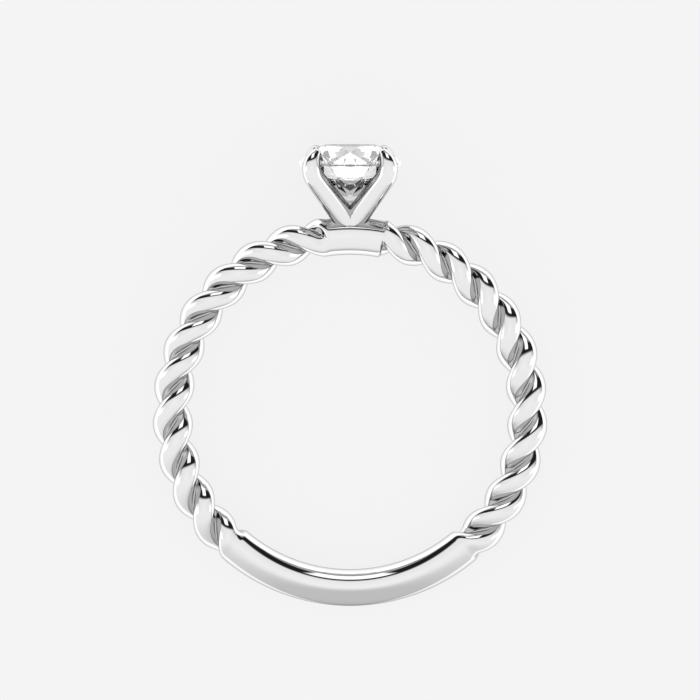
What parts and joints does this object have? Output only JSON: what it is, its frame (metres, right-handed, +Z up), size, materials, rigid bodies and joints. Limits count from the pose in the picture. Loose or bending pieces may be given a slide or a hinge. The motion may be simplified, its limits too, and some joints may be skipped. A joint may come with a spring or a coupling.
{
  "type": "twisted shank ring",
  "caption": "Finger ring with a rope-twisted shank, a plain bar at the bottom and a prong head holding a round brilliant-cut stone.",
  "frame": {"origin": "where the finger hole's axis meets the surface that the ring lies on", "axes": "+Z up from the surface, +Y towards the head as seen from above, +X to the right in the picture; the head end is raised by about 4 degrees"},
  "size_m": [0.0206, 0.0242, 0.0053],
  "materials": {
    "white_metal": "high polish",
    "stone": "faceted and polished, clear"
  },
  "bodies": {
    "root": {"ring_and_setting": "white_metal", "stone": "stone"}
  },
  "joints": []
}
